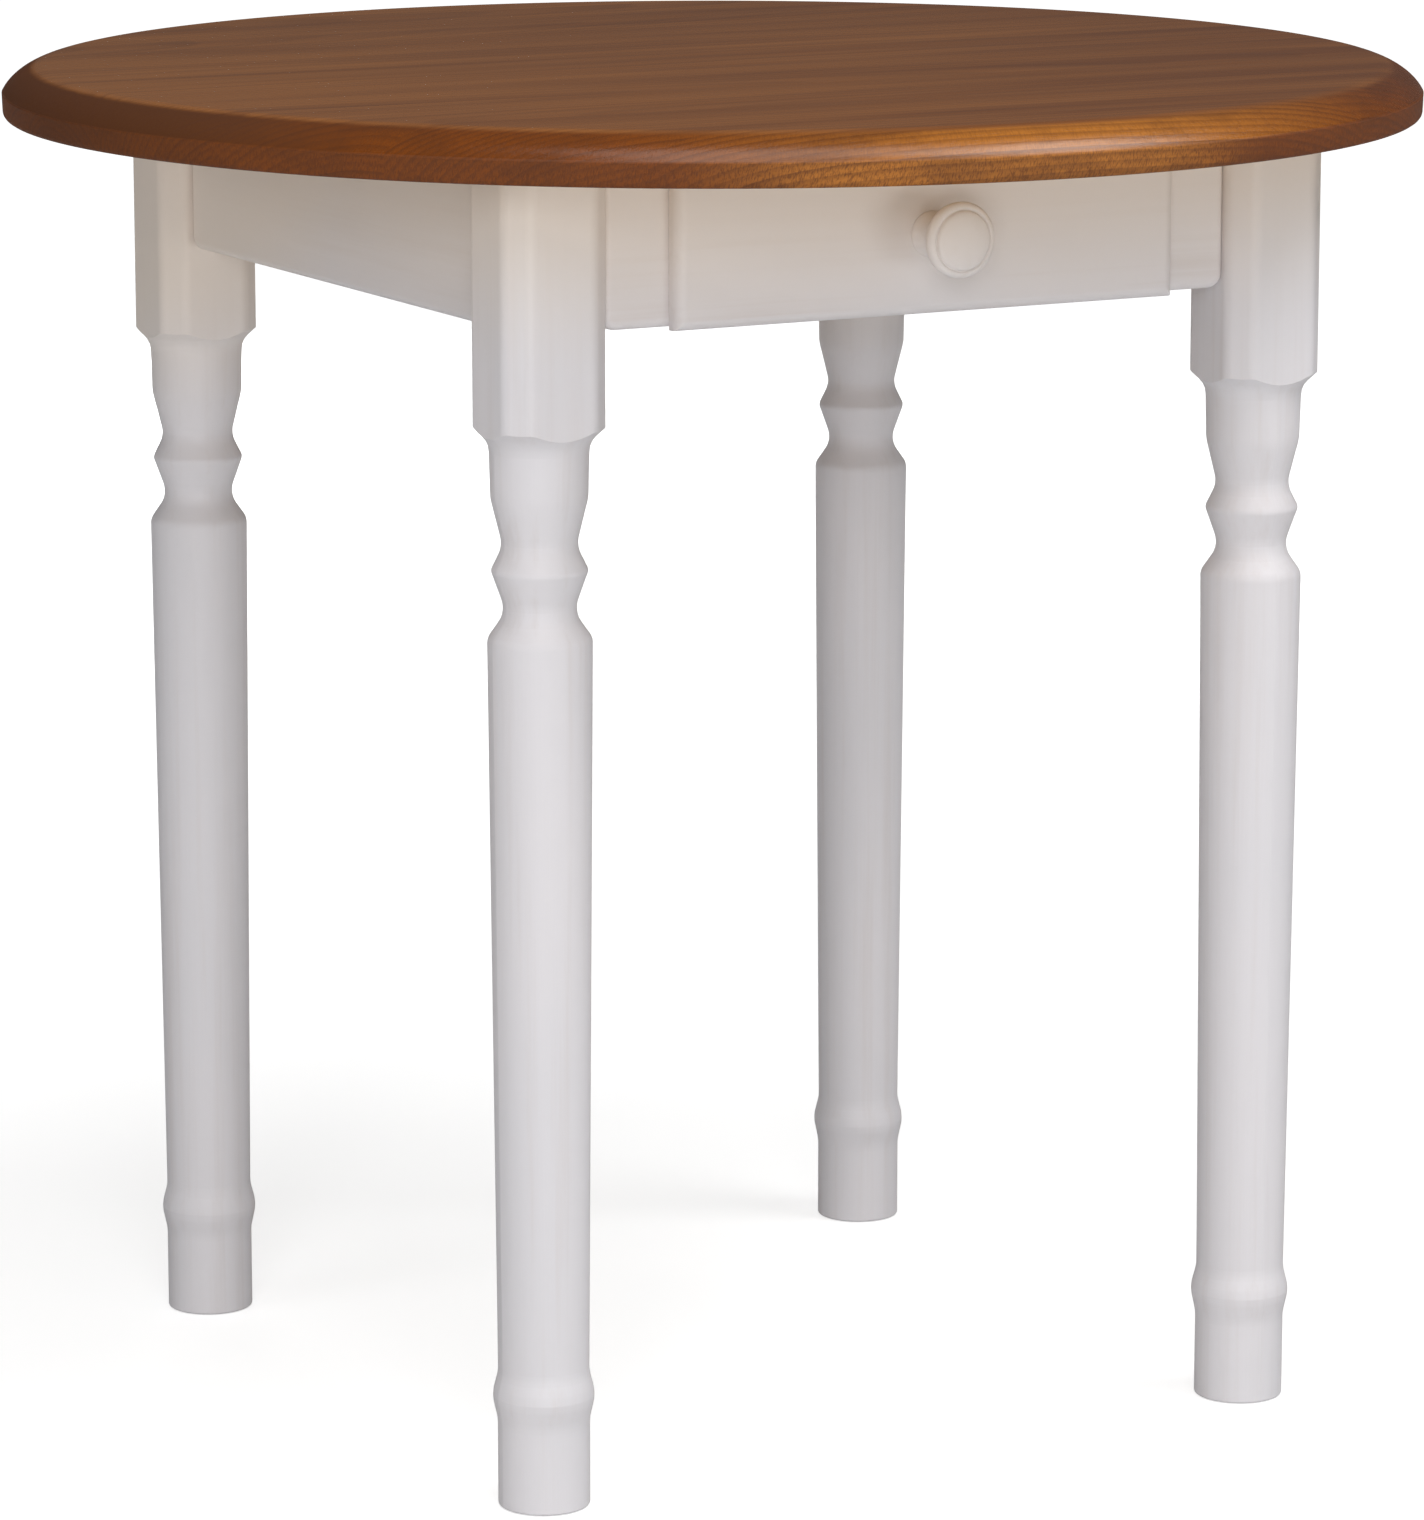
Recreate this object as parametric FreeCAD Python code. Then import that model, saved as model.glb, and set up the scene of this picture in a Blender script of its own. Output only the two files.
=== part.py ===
import FreeCAD, Part
import math
import os

# Round dining table with turned legs and one drawer.
# Millimetres, +Z up, origin on the floor below the middle of the top, drawer towards -Y.

# Table top
table_height = 755.0
top_diameter = 800.0
top_thickness = 28.0
top_upper_round = 28.0
top_rim_height = 13.0
top_rim_lean = 0.5
top_lower_round = 3.0

# Leg blocks, on a square plan
leg_spacing = 445.0
block_width = 61.0
block_length = 136.0
block_chamfer = 11.5
block_edge_round = 9.0

# Turned part of a leg, from the shoulder down: lengths along the leg and diameters
shoulder_angle = 48.0
shoulder_cove_round = 12.0
vase_length = 26.7
upper_neck_length = 27.1
ring_length = 14.9
lower_neck_length = 20.0
shaft_shoulder_length = 19.0
vase_top_diameter = 53.2
vase_diameter = 52.1
upper_neck_diameter = 41.0
ring_diameter = 51.4
lower_neck_diameter = 39.4
shaft_diameter = 56.1

# Turned part of a leg, from the floor up
foot_length = 45.3
bead_lower_length = 16.5
bead_upper_length = 16.1
foot_diameter = 50.0
bead_diameter = 55.0
ankle_diameter = 49.5
foot_edge_round = 1.5

# Roundness of the turned flanks, from the foot to the vase: the arcs' share of what fits,
# and the outer arc's share of both
flank_round_shares = [0.85, 0.90, 0.87, 0.51, 0.78, 0.56]
flank_outer_shares = [0.44, 0.46, 0.38, 0.24, 0.24, 0.63]

# Rails between the leg blocks
apron_height = 86.5
apron_thickness = 20.0
apron_setback = 15.0
apron_edge_round = 4.5
apron_corner_round = 8.0

# Corner braces and leg bolts
brace_thickness = 20.0
brace_height = 60.0
brace_drop = 5.0
brace_leg_gap = 2.0
bolt_diameter = 8.0
bolt_spacing = 32.0
bolt_depth_in_leg = 42.0
bolt_tail = 3.0
washer_diameter = 24.0
washer_thickness = 2.0
nut_across_flats = 13.0
nut_height = 6.5
brace_screw_spacing = 36.0
brace_screw_seat = 8.0
brace_screw_bite = 14.0

# Steel angles that hold the top
bracket_leg = 25.0
bracket_width = 20.0
bracket_thickness = 2.0
bracket_offset = 80.0
bracket_screw_bite = 14.0

# Wood screws
screw_diameter = 4.0
screw_head_diameter = 8.0
screw_head_height = 2.6
screw_recess_depth = 1.4
screw_recess_width = 1.0
screw_recess_length = 5.0

# Drawer
drawer_front_top_gap = 2.5
drawer_front_drop = 1.5
drawer_front_edge_round = 6.0
drawer_lip_thickness = 10.0
drawer_lip_overlap = 22.5
drawer_plug_thickness = 10.0
drawer_headroom = 6.5
drawer_back_room = 56.3
drawer_side_lift = 20.0
drawer_side_thickness = 12.0
drawer_bottom_thickness = 3.0
drawer_groove_rise = 7.0
drawer_groove_depth = 6.0
drawer_dowel_diameter = 6.0
drawer_dowel_depth = 12.0
drawer_dowel_length = 32.0
drawer_dowel_edge_share = 0.25
drawer_back_screw_bite = 20.0

# Knob
knob_height = 42.0
knob_base_diameter = 25.0
knob_neck_diameter = 18.0
knob_head_diameter = 41.0
knob_face_inset = 4.5
knob_face_margin = 0.8
knob_face_step = 1.2
knob_projection = 38.0
knob_dome = 2.0
knob_neck_share = 0.32
knob_rim_share = 0.80
knob_round_shares = [0.8, 0.9]
knob_outer_shares = [0.4, 0.35]
knob_screw_depth = 20.0

# Runners, guides and stop
runner_height = 15.0
runner_overlap = 14.0
guide_thickness = 12.0
guide_height = 26.0
runner_dowel_diameter = 8.0
runner_dowel_depth = 12.0
runner_dowel_length = 32.0
stop_setback = 49.2
stop_width = 60.0
stop_depth = 18.0
stop_height = 13.0
stop_screw_spacing = 34.0
stop_screw_bite = 15.0

# Clearances
notch_clearance = 3.0
notch_drop = 2.0
running_gap = 0.3
guide_gap = 0.5
guide_brace_gap = 2.9
fit_gap = 0.1
bolt_gap = 0.5
overrun = 5.0

# Places that several pieces share
top_underside = table_height - top_thickness
leg_axis = leg_spacing / 2
apron_face = leg_axis + block_width / 2 - apron_setback
apron_inside = apron_face - apron_thickness
apron_end = leg_axis - block_width / 2
apron_bottom = top_underside - apron_height
brace_edge = leg_axis - apron_inside
leg_face_reach = (block_width - block_chamfer) / math.sqrt(2)
brace_outer_reach = leg_face_reach + brace_leg_gap
brace_inner_reach = brace_outer_reach + brace_thickness
brace_end = leg_axis + brace_edge - brace_inner_reach * math.sqrt(2)
brace_top = top_underside - brace_drop
brace_middle = brace_top - brace_height / 2
drawer_back_of_lip = -apron_face - running_gap
drawer_face = drawer_back_of_lip - drawer_lip_thickness
drawer_back_of_front = drawer_back_of_lip + drawer_plug_thickness
drawer_front_top = top_underside - drawer_front_top_gap
drawer_front_bottom = apron_bottom - drawer_front_drop
drawer_side_bottom = apron_bottom + drawer_side_lift
drawer_side_top = top_underside - drawer_headroom
drawer_box_back = apron_inside - drawer_back_room
drawer_back_inside = drawer_box_back - drawer_side_thickness
guide_outer = brace_end - guide_brace_gap
guide_inner = guide_outer - guide_thickness
drawer_half = guide_inner - guide_gap
drawer_inside_half = drawer_half - drawer_side_thickness
groove_bottom = drawer_side_bottom + drawer_groove_rise
groove_top = groove_bottom + drawer_bottom_thickness + fit_gap
knob_middle = apron_bottom + knob_height
runner_top = drawer_side_bottom - running_gap
runner_bottom = runner_top - runner_height
runner_inner = drawer_half - runner_overlap
stop_front = stop_setback - apron_inside
stop_back = stop_front + stop_depth
stop_bottom = top_underside - stop_height

X_AXIS = FreeCAD.Vector(1, 0, 0)
Y_AXIS = FreeCAD.Vector(0, 1, 0)
Z_AXIS = FreeCAD.Vector(0, 0, 1)
ORIGIN = FreeCAD.Vector(0, 0, 0)

CORNERS = ["back_right", "back_left", "front_left", "front_right"]
BRACKET_TURNS = [0, 90, 270]


# Shape helpers
def box(x_span, y_span, z_span):
    corner = FreeCAD.Vector(x_span[0], y_span[0], z_span[0])
    return Part.makeBox(x_span[1] - x_span[0], y_span[1] - y_span[0], z_span[1] - z_span[0], corner)


def rod(radius, start, end):
    return Part.makeCylinder(radius, (end - start).Length, start, end - start)


def turned(shape, degrees):
    copy = shape.copy()
    copy.rotate(ORIGIN, Z_AXIS, degrees)
    return copy


def mirrored(shape):
    return shape.mirror(ORIGIN, X_AXIS)


def prism(points, bottom, top):
    corners = [FreeCAD.Vector(x, y, bottom) for x, y in points]
    face = Part.Face(Part.makePolygon(corners + corners[:1]))
    return face.extrude(Z_AXIS * (top - bottom))


def lathe(edges):
    # Edges of a half section in the XZ plane, turned about Z
    return Part.Face(Part.Wire(edges)).revolve(ORIGIN, Z_AXIS, 360)


def section_point(radius, height):
    return FreeCAD.Vector(radius, 0, height)


def line(start, end):
    return Part.LineSegment(start, end).toShape()


def arc(centre, radius, first_angle, last_angle):
    places = []
    for angle in (first_angle, (first_angle + last_angle) / 2, last_angle):
        across = centre[0] + radius * math.cos(angle)
        places.append(section_point(across, centre[1] + radius * math.sin(angle)))
    return Part.Arc(*places).toShape()


def flank(low, high, round_share, outer_share):
    # Section from one (radius, height) station up to the next: arc, straight and arc,
    # parallel to the axis at both stations
    wide, narrow = (low, high) if low[0] > high[0] else (high, low)
    side = 1 if wide is low else -1
    depth = wide[0] - narrow[0]
    rise = high[1] - low[1]
    if depth == 0:
        return [line(section_point(*low), section_point(*high))]
    reach = round_share * (depth ** 2 + rise ** 2) / (2 * depth)
    outer = outer_share * reach
    inner = reach - outer
    lean = math.atan2(rise, reach - depth) - math.acos(reach / math.hypot(reach - depth, rise))
    outer_arc = arc((wide[0] - outer, wide[1]), outer, 0, side * lean)
    inner_arc = arc((narrow[0] + inner, narrow[1]), inner, math.pi + side * lean, math.pi)
    if wide is high:
        outer_arc, inner_arc = inner_arc, outer_arc
    straight = line(nearest_end(outer_arc, inner_arc), nearest_end(inner_arc, outer_arc))
    return [outer_arc, straight, inner_arc]


def nearest_end(edge, other):
    target = middle(other)
    return min((vertex.Point for vertex in edge.Vertexes), key=lambda point: point.distanceToPoint(target))


def middle(edge):
    return edge.valueAt((edge.FirstParameter + edge.LastParameter) / 2)


def edges_where(shape, test):
    return [edge for edge in shape.Edges if test(middle(edge))]


def wood_screw(seat, direction, length):
    # Pan head on its seat, shank along direction, cross recess in the head
    head = rod(screw_head_diameter / 2, seat, seat - direction * screw_head_height)
    shank = rod(screw_diameter / 2, seat, seat + direction * length)
    screw = head.fuse(shank).removeSplitter()
    half = screw_recess_length / 2
    slim = screw_recess_width / 2
    for spans in (((-half, half), (-slim, slim)), ((-slim, slim), (-half, half))):
        slot = box(spans[0], spans[1], (screw_head_height - screw_recess_depth, screw_head_height + overrun))
        slot.Placement = FreeCAD.Placement(seat, FreeCAD.Rotation(Z_AXIS, direction * -1))
        screw = screw.cut(slot)
    return screw


def screw_hole(seat, direction, length):
    # Way for a wood screw's shank, and for its head out of the seat
    shank = rod(screw_diameter / 2 + fit_gap, seat, seat + direction * (length + fit_gap))
    head = rod(screw_head_diameter / 2 + fit_gap, seat, seat - direction * (screw_head_height + overrun))
    return shank.fuse(head)


# Top
def table_top():
    # The upper round ends in a crease, and the rim below it leans in a little
    radius = top_diameter / 2
    crease = top_underside + top_rim_height
    round_drop = table_height - crease
    inner = radius - math.sqrt(round_drop * (2 * top_upper_round - round_drop))
    crease_angle = math.asin(1 - round_drop / top_upper_round)
    rim_bottom = section_point(radius - top_rim_lean, top_underside)
    edges = [
        line(section_point(0, top_underside), rim_bottom),
        line(rim_bottom, section_point(radius, crease)),
        arc((inner, table_height - top_upper_round), top_upper_round, crease_angle, math.pi / 2),
        line(section_point(inner, table_height), section_point(0, table_height)),
        line(section_point(0, table_height), section_point(0, top_underside)),
    ]
    top = lathe(edges)
    top = top.makeFillet(top_lower_round, edges_where(top, lambda point: point.z == top_underside))
    for seat, direction in top_screw_seats():
        top = top.cut(screw_hole(seat, direction, bracket_screw_bite + bracket_thickness))
    for seat in stop_screw_seats():
        top = top.cut(screw_hole(seat, Z_AXIS, stop_screw_length()))
    return top


# Legs
def turned_stations():
    # (radius, height) of each bead, neck and shaft end, from the foot to the vase
    corner = math.hypot(block_width / 2, block_width / 2 - block_chamfer)
    spread = math.tan(math.radians(shoulder_angle))
    height = top_underside - block_length - (corner - vase_top_diameter / 2) / spread
    upper = []
    for diameter, length in [
        (vase_top_diameter, 0),
        (vase_diameter, vase_length),
        (upper_neck_diameter, upper_neck_length),
        (ring_diameter, ring_length),
        (lower_neck_diameter, lower_neck_length),
        (shaft_diameter, shaft_shoulder_length),
    ]:
        height -= length
        upper.append((diameter / 2, height))
    bead_height = foot_length + bead_lower_length
    lower = [
        (foot_diameter / 2, foot_length),
        (bead_diameter / 2, bead_height),
        (ankle_diameter / 2, bead_height + bead_upper_length),
    ]
    return lower, upper[::-1]


def leg_section():
    lower, upper = turned_stations()
    foot_radius = foot_diameter / 2
    spread = math.radians(shoulder_angle)
    shares = list(zip(flank_round_shares, flank_outer_shares))
    edges = [line(section_point(0, 0), section_point(foot_radius - foot_edge_round, 0))]
    edges.append(arc((foot_radius - foot_edge_round, foot_edge_round), foot_edge_round, -math.pi / 2, 0))
    edges.append(line(section_point(foot_radius, foot_edge_round), section_point(*lower[0])))
    turnings = list(zip(lower[:-1], lower[1:])) + list(zip(upper[:-2], upper[1:-1]))
    for number, (low, high) in enumerate(turnings):
        if low is upper[0]:
            edges.append(line(section_point(*lower[-1]), section_point(*low)))
        edges += flank(low, high, *shares[number])
    vase_top = upper[-1]
    cove_start = vase_top[1] - shoulder_cove_round * math.tan(spread / 2)
    edges.append(line(section_point(*upper[-2]), section_point(vase_top[0], cove_start)))
    cove_centre = (vase_top[0] + shoulder_cove_round, cove_start)
    cove = arc(cove_centre, shoulder_cove_round, math.pi, math.pi - spread)
    edges.append(cove)
    cone_start = cove.Vertexes[-1].Point
    outer = block_width
    cone_end = section_point(outer, cone_start.z + (outer - cone_start.x) / math.tan(spread))
    edges.append(line(cone_start, cone_end))
    edges.append(line(cone_end, section_point(outer, top_underside)))
    edges.append(line(section_point(outer, top_underside), section_point(0, top_underside)))
    edges.append(line(section_point(0, top_underside), section_point(0, 0)))
    return edges


def leg_block():
    half = block_width / 2
    flat = half - block_chamfer
    points = []
    for quarter in range(4):
        turn = math.radians(90 * quarter)
        for x, y in ((half, -flat), (half, flat)):
            points.append((x * math.cos(turn) - y * math.sin(turn), x * math.sin(turn) + y * math.cos(turn)))
    block = prism(points, 0, top_underside)
    upright = edges_where(block, lambda point: 0 < point.z < top_underside)
    return block.makeFillet(block_edge_round, upright)


def leg():
    shape = lathe(leg_section()).common(leg_block())
    shape.translate(FreeCAD.Vector(leg_axis, leg_axis, 0))
    for height in bolt_heights():
        start = diagonal_point(leg_face_reach - bolt_depth_in_leg, height)
        end = diagonal_point(leg_face_reach + overrun, height)
        shape = shape.cut(rod(bolt_diameter / 2 + fit_gap, start, end))
    return shape


# Rails
def apron(cuts):
    # Rail on the -Y side, rounded at its lower corners and on its outer edges
    blank = box((-apron_end, apron_end), (-apron_face, -apron_inside), (apron_bottom, top_underside))
    corners = edges_where(blank, lambda point: abs(point.x) == apron_end and point.z == apron_bottom)
    blank = blank.makeFillet(apron_corner_round, corners)
    outer = edges_where(blank, lambda point: point.y == -apron_face and point.z < top_underside)
    rail = blank.makeFillet(apron_edge_round, outer)
    for cut in cuts:
        rail = rail.cut(cut)
    return rail


def brace_screw_cuts():
    return [screw_hole(seat, direction, brace_screw_length()) for seat, direction in brace_screw_seats()]


def runner_dowel_cuts():
    cuts = []
    for start, end in runner_dowel_lines():
        cuts.append(rod(runner_dowel_diameter / 2 + fit_gap, start, end))
    return cuts


def turned_cuts(cuts, degrees):
    return [turned(cut, degrees) for cut in cuts]


def drawer_notch():
    half = drawer_half + notch_clearance
    return box(
        (-half, half),
        (-apron_face - overrun, -apron_inside + overrun),
        (drawer_side_bottom - notch_drop, top_underside + overrun),
    )


def aprons():
    # Every rail is made as the front one and turned to its side
    corner_cuts = brace_screw_cuts()
    all_corner_cuts = []
    for quarter in range(len(CORNERS)):
        all_corner_cuts += turned_cuts(corner_cuts, 90 * quarter)
    bracket_cuts = []
    for seat, direction in apron_screw_seats():
        bracket_cuts.append(screw_hole(seat, direction, bracket_screw_bite + bracket_thickness))
    bracket_cuts = turned_cuts(bracket_cuts, 180)
    dowel_cuts = runner_dowel_cuts()
    side = apron(all_corner_cuts + bracket_cuts)
    front = apron(all_corner_cuts + dowel_cuts + [drawer_notch()])
    back = apron(all_corner_cuts + bracket_cuts + dowel_cuts)
    return {
        "apron_front": front,
        "apron_right": turned(side, 90),
        "apron_back": turned(back, 180),
        "apron_left": turned(side, 270),
    }


# Corner braces and what goes through them, made for the back right corner
def diagonal_point(reach, height):
    # Point on the corner's diagonal, reach inwards from the leg's axis
    shift = reach / math.sqrt(2)
    return FreeCAD.Vector(leg_axis - shift, leg_axis - shift, height)


def bolt_heights():
    return [brace_middle - bolt_spacing / 2, brace_middle + bolt_spacing / 2]


def brace_screw_length():
    return brace_screw_seat + brace_screw_bite


def brace_screw_seats():
    # Two screws into each of the corner's rails
    along = (brace_outer_reach + brace_inner_reach) / math.sqrt(2) - brace_edge
    seats = []
    for height in (brace_middle - brace_screw_spacing / 2, brace_middle + brace_screw_spacing / 2):
        near = apron_inside - brace_screw_seat
        seats.append((FreeCAD.Vector(leg_axis - along, near, height), Y_AXIS))
        seats.append((FreeCAD.Vector(near, leg_axis - along, height), X_AXIS))
    return seats


def corner_brace():
    outer = brace_outer_reach * math.sqrt(2) - brace_edge
    inner = brace_inner_reach * math.sqrt(2) - brace_edge
    plan = [(outer, brace_edge), (inner, brace_edge), (brace_edge, inner), (brace_edge, outer)]
    points = [(leg_axis - x, leg_axis - y) for x, y in plan]
    brace = prism(points, brace_top - brace_height, brace_top)
    for height in bolt_heights():
        start = diagonal_point(leg_face_reach, height)
        end = diagonal_point(brace_inner_reach + overrun, height)
        brace = brace.cut(rod(bolt_diameter / 2 + bolt_gap, start, end))
    for seat, direction in brace_screw_seats():
        brace = brace.cut(deep_screw_hole(seat, direction))
    return brace


def deep_screw_hole(seat, direction):
    # Screw hole whose head pocket runs out through the brace's slanted face
    pocket = rod(screw_head_diameter / 2 + fit_gap, seat, seat - direction * brace_thickness)
    return screw_hole(seat, direction, brace_screw_length()).fuse(pocket)


def leg_bolts():
    end_reach = brace_inner_reach + washer_thickness + nut_height + bolt_tail
    bolts = []
    for height in bolt_heights():
        start = diagonal_point(leg_face_reach - bolt_depth_in_leg, height)
        bolts.append(rod(bolt_diameter / 2, start, diagonal_point(end_reach, height)))
    return bolts


def leg_bolt_washers():
    washers = []
    for height in bolt_heights():
        near = diagonal_point(brace_inner_reach, height)
        far = diagonal_point(brace_inner_reach + washer_thickness, height)
        washer = rod(washer_diameter / 2, near, far)
        washers.append(washer.cut(rod(bolt_diameter / 2 + fit_gap, near, far)))
    return washers


def leg_bolt_nuts():
    nuts = []
    corner = nut_across_flats / math.sqrt(3)
    for height in bolt_heights():
        near = diagonal_point(brace_inner_reach + washer_thickness, height)
        far = diagonal_point(brace_inner_reach + washer_thickness + nut_height, height)
        hexagon = []
        for side in range(6):
            angle = math.radians(60 * side)
            hexagon.append((corner * math.cos(angle), corner * math.sin(angle)))
        nut = prism(hexagon, 0, nut_height)
        nut.Placement = FreeCAD.Placement(near, FreeCAD.Rotation(Z_AXIS, far - near))
        nuts.append(nut.cut(rod(bolt_diameter / 2 + fit_gap, near, far)))
    return nuts


def brace_screws():
    return [wood_screw(seat, direction, brace_screw_length()) for seat, direction in brace_screw_seats()]


def at_corners(shapes):
    return [turned(shape, 90 * quarter) for quarter in range(len(CORNERS)) for shape in shapes]


# Steel angles under the top, made on the back rail
def bracket_places():
    return (-bracket_offset, bracket_offset)


def bracket_hole_reach():
    return (bracket_leg + bracket_thickness) / 2


def apron_screw_seats():
    height = top_underside - bracket_hole_reach()
    return [(FreeCAD.Vector(x, apron_inside - bracket_thickness, height), Y_AXIS) for x in bracket_places()]


def top_screw_seats():
    seats = []
    for degrees in BRACKET_TURNS:
        turn = FreeCAD.Rotation(Z_AXIS, degrees)
        for x in bracket_places():
            seat = FreeCAD.Vector(x, apron_inside - bracket_hole_reach(), top_underside - bracket_thickness)
            seats.append((turn.multVec(seat), Z_AXIS))
    return seats


def top_bracket(x):
    across = (x - bracket_width / 2, x + bracket_width / 2)
    upright = box(across, (apron_inside - bracket_thickness, apron_inside),
                  (top_underside - bracket_leg, top_underside))
    flat = box(across, (apron_inside - bracket_leg, apron_inside),
               (top_underside - bracket_thickness, top_underside))
    bracket = upright.fuse(flat).removeSplitter()
    for seat, direction in apron_screw_seats() + top_screw_seats()[:len(bracket_places())]:
        bracket = bracket.cut(screw_hole(seat, direction, bracket_screw_bite))
    return bracket


def top_brackets():
    brackets = [top_bracket(x) for x in bracket_places()]
    return [turned(bracket, degrees) for degrees in BRACKET_TURNS for bracket in brackets]


def top_bracket_screws():
    length = bracket_screw_bite + bracket_thickness
    screws = [wood_screw(seat, direction, length) for seat, direction in top_screw_seats()]
    for degrees in BRACKET_TURNS:
        for seat, direction in apron_screw_seats():
            screws.append(turned(wood_screw(seat, direction, length), degrees))
    return screws


# Drawer
def drawer_dowel_lines():
    # Dowels from the front into both sides
    middle_x = drawer_half - drawer_side_thickness / 2
    lines = []
    for x in (-middle_x, middle_x):
        for height in dowel_heights():
            start = FreeCAD.Vector(x, drawer_back_of_front - drawer_dowel_depth, height)
            lines.append((start, start + Y_AXIS * drawer_dowel_length))
    return lines


def dowel_heights():
    # Between the bottom's groove and the side's top edge
    room = drawer_side_top - groove_top
    return [groove_top + room * drawer_dowel_edge_share, drawer_side_top - room * drawer_dowel_edge_share]


def drawer_dowels():
    return [rod(drawer_dowel_diameter / 2, start, end) for start, end in drawer_dowel_lines()]


def drawer_front():
    # Lip over the rail's face, rounded in front, and a plug that fills the rail's notch
    half = drawer_half + drawer_lip_overlap
    lip = box((-half, half), (drawer_face, drawer_back_of_lip), (drawer_front_bottom, drawer_front_top))
    lip = lip.makeFillet(drawer_front_edge_round, edges_where(lip, lambda point: point.y == drawer_face))
    plug = box((-drawer_half, drawer_half), (drawer_back_of_lip, drawer_back_of_front),
               (drawer_side_bottom, drawer_side_top))
    front = lip.fuse(plug)
    for start, end in drawer_dowel_lines():
        front = front.cut(rod(drawer_dowel_diameter / 2 + fit_gap, start, end))
    groove_half = drawer_inside_half + drawer_groove_depth
    groove_floor = drawer_back_of_front - drawer_groove_depth
    front = front.cut(box((-groove_half, groove_half), (groove_floor, drawer_back_of_front + overrun),
                          (groove_bottom, groove_top)))
    way_in = FreeCAD.Vector(0, drawer_back_of_front, knob_middle)
    return front.cut(rod(screw_diameter / 2 + fit_gap, way_in, FreeCAD.Vector(0, drawer_face, knob_middle)))


def drawer_side():
    # Right-hand side, grooved for the bottom
    side = box((drawer_inside_half, drawer_half), (drawer_back_of_front, drawer_box_back),
               (drawer_side_bottom, drawer_side_top))
    groove = box((drawer_inside_half - overrun, drawer_inside_half + drawer_groove_depth),
                 (drawer_back_of_front - overrun, drawer_box_back + overrun), (groove_bottom, groove_top))
    side = side.cut(groove)
    for start, end in drawer_dowel_lines():
        side = side.cut(rod(drawer_dowel_diameter / 2 + fit_gap, start, end))
    for seat in drawer_back_screw_seats():
        side = side.cut(screw_hole(seat, X_AXIS * -1, drawer_back_screw_length()))
    return side


def drawer_back_screw_length():
    return drawer_side_thickness - screw_head_height + drawer_back_screw_bite


def drawer_back_screw_seats():
    # Heads sunk flush in the right-hand side
    middle_y = (drawer_back_inside + drawer_box_back) / 2
    seat_x = drawer_half - screw_head_height
    return [FreeCAD.Vector(seat_x, middle_y, height) for height in dowel_heights()]


def drawer_back():
    # Stands on the bottom, between the sides
    back = box((-drawer_inside_half, drawer_inside_half), (drawer_back_inside, drawer_box_back),
               (groove_bottom + drawer_bottom_thickness, drawer_side_top))
    for seat in drawer_back_screw_seats():
        hole = screw_hole(seat, X_AXIS * -1, drawer_back_screw_length())
        back = back.cut(hole).cut(mirrored(hole))
    return back


def drawer_back_screws():
    screws = []
    for seat in drawer_back_screw_seats():
        screw = wood_screw(seat, X_AXIS * -1, drawer_back_screw_length())
        screws += [screw, mirrored(screw)]
    return screws


def drawer_bottom():
    half = drawer_inside_half + drawer_groove_depth - guide_gap
    front = drawer_back_of_front - drawer_groove_depth + guide_gap
    return box((-half, half), (front, drawer_box_back),
               (groove_bottom, groove_bottom + drawer_bottom_thickness))


# Knob, turned about the drawer's pull line
def knob_section():
    base = (knob_base_diameter / 2, 0)
    neck = (knob_neck_diameter / 2, knob_projection * knob_neck_share)
    rim = (knob_head_diameter / 2, knob_projection * knob_rim_share)
    face_radius = rim[0] - knob_face_inset
    face_height = knob_projection - knob_dome
    shoulder = (face_radius + knob_face_margin, face_height - knob_face_step)
    edges = [line(section_point(0, 0), section_point(*base))]
    edges += flank(base, neck, knob_round_shares[0], knob_outer_shares[0])
    edges += flank(neck, rim, knob_round_shares[1], knob_outer_shares[1])
    drop = rim[0] - shoulder[0]
    rise = shoulder[1] - rim[1]
    radius = (drop ** 2 + rise ** 2) / (2 * drop)
    edges.append(arc((rim[0] - radius, rim[1]), radius, 0, math.atan2(rise, radius - drop)))
    edges.append(line(section_point(*shoulder), section_point(face_radius, shoulder[1])))
    edges.append(line(section_point(face_radius, shoulder[1]), section_point(face_radius, face_height)))
    crown = (face_radius ** 2 + knob_dome ** 2) / (2 * knob_dome)
    lean = math.asin(face_radius / crown)
    edges.append(arc((0, knob_projection - crown), crown, math.pi / 2 - lean, math.pi / 2))
    edges.append(line(section_point(0, knob_projection), section_point(0, 0)))
    return edges


def drawer_knob():
    knob = lathe(knob_section())
    knob = knob.cut(rod(screw_diameter / 2 + fit_gap, ORIGIN, Z_AXIS * (knob_screw_depth + fit_gap)))
    knob.Placement = FreeCAD.Placement(
        FreeCAD.Vector(0, drawer_face, knob_middle), FreeCAD.Rotation(Z_AXIS, Y_AXIS * -1)
    )
    return knob


def drawer_knob_screw():
    seat = FreeCAD.Vector(0, drawer_back_of_front, knob_middle)
    return wood_screw(seat, Y_AXIS * -1, drawer_back_of_front - drawer_face + knob_screw_depth)


# Runners, guides and stop
def runner_dowel_lines():
    # From the front rail into both runners
    x_middle = (runner_inner + guide_outer) / 2
    height = (runner_bottom + runner_top) / 2
    start_y = -apron_inside - runner_dowel_depth
    lines = []
    for x in (-x_middle, x_middle):
        start = FreeCAD.Vector(x, start_y, height)
        lines.append((start, start + Y_AXIS * runner_dowel_length))
    return lines


def runner_dowels():
    dowels = [rod(runner_dowel_diameter / 2, start, end) for start, end in runner_dowel_lines()]
    return dowels + [turned(dowel, 180) for dowel in dowels]


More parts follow.
